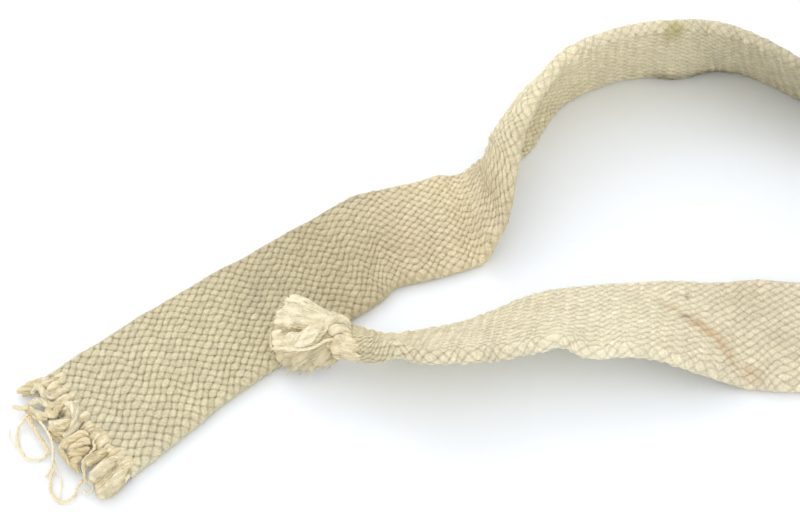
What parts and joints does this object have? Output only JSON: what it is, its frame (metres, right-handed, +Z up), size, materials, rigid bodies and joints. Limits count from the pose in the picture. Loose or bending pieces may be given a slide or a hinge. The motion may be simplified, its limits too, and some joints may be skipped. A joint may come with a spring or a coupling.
{
  "type": "martial arts belt",
  "caption": "Natural cotton martial arts belt of flat tubular braid, part laid out and part rolled, with one frayed cut end and one gathered tassel end with a rolled collar.",
  "frame": {"origin": "middle of the bounding box in plan, on the ground the belt rests on", "axes": "+X from the frayed and tasselled ends towards the rolled-up middle, +Z up, +Y completes the right hand"},
  "size_m": [0.4061, 0.1796, 0.04],
  "materials": {
    "braided_cotton": "matte, undyed natural cotton in a flat tubular braid",
    "cotton_yarn": "matte, soft spun cotton yarn",
    "raw_fibre": "matte, loose cotton fibre"
  },
  "bodies": {
    "rolled_middle": {"roll_strand_a": "braided_cotton", "roll_strand_b": "braided_cotton", "roll_core": "braided_cotton"},
    "arm_a": {"lead_a_web": "braided_cotton", "arc_web": "braided_cotton", "crook_web": "braided_cotton", "flat_run_web": "braided_cotton"},
    "end_a": {"end_a_web": "braided_cotton"},
    "end_a_tip": {"end_a_tip_web": "braided_cotton", "end_a_yarn_loop_1": "cotton_yarn", "end_a_yarn_loop_2": "cotton_yarn", "end_a_yarn_loop_3": "cotton_yarn", "end_a_yarn_loop_4": "cotton_yarn", "end_a_yarn_loop_5": "cotton_yarn", "end_a_yarn_loop_6": "cotton_yarn", "end_a_cut_tuft_1": "cotton_yarn", "end_a_cut_tuft_2": "cotton_yarn", "end_a_cut_tuft_3": "cotton_yarn", "end_a_short_strand": "cotton_yarn", "end_a_side_strand": "cotton_yarn", "loose_thread_loop": "raw_fibre"},
    "loose_threads": {"loose_thread_1": "raw_fibre", "loose_thread_2": "raw_fibre", "loose_thread_3": "raw_fibre"},
    "arm_b": {"lead_b_web": "braided_cotton", "flat_strip_web": "braided_cotton"},
    "strip_b": {"strip_web": "braided_cotton"},
    "wave_b": {"wave_web": "braided_cotton"},
    "end_b": {"neck_web": "braided_cotton", "end_b_collar": "cotton_yarn"},
    "tassel": {"tassel_lower_tuft_1": "raw_fibre", "tassel_lower_tuft_2": "raw_fibre", "tassel_lower_tuft_3": "raw_fibre", "tassel_lower_tuft_4": "raw_fibre", "tassel_upper_tuft_1": "raw_fibre", "tassel_upper_tuft_2": "raw_fibre", "tassel_upper_tuft_3": "raw_fibre", "tassel_binding_thread": "raw_fibre", "tassel_thread_loop": "raw_fibre"}
  },
  "joints": [
    {"name": "arm_a_swing", "type": "hinge", "parent": "rolled_middle", "child": "arm_a", "pos_m": [0.1478, 0.053, 0.02], "axis": [0, 0, -1], "range_deg": [0, 10]},
    {"name": "end_a_lift", "type": "hinge", "parent": "arm_a", "child": "end_a", "pos_m": [-0.1473, -0.0347, 0.004], "axis": [-0.6429, 0.7659, 0], "range_deg": [0, 60]},
    {"name": "end_a_tip_curl", "type": "hinge", "parent": "end_a", "child": "end_a_tip", "pos_m": [-0.168, -0.0535, 0.004], "axis": [-0.695, 0.719, 0], "range_deg": [0, 60]},
    {"name": "loose_thread_swing", "type": "hinge", "parent": "end_a_tip", "child": "loose_threads", "pos_m": [-0.1978, -0.0634, 0.0015], "axis": [0, 0, -1], "range_deg": [0, 20]},
    {"name": "arm_b_swing", "type": "hinge", "parent": "rolled_middle", "child": "arm_b", "pos_m": [0.1004, 0.0006, 0.02], "axis": [0, 0, 1], "range_deg": [0, 10]},
    {"name": "strip_b_lift", "type": "hinge", "parent": "arm_b", "child": "strip_b", "pos_m": [0.0094, -0.0343, 0.002], "axis": [0.2125, 0.9772, 0], "range_deg": [0, 35]},
    {"name": "wave_b_lift", "type": "hinge", "parent": "strip_b", "child": "wave_b", "pos_m": [-0.0371, -0.0343, 0.014], "axis": [0.2501, 0.9682, 0], "range_deg": [0, 35]},
    {"name": "end_b_lift", "type": "hinge", "parent": "wave_b", "child": "end_b", "pos_m": [-0.0881, -0.0456, 0.02], "axis": [0, 1, 0], "range_deg": [0, 40]},
    {"name": "tassel_flop", "type": "hinge", "parent": "end_b", "child": "tassel", "pos_m": [-0.1142, -0.0426, 0.013], "axis": [0, 1, 0], "range_deg": [0, 50]}
  ]
}
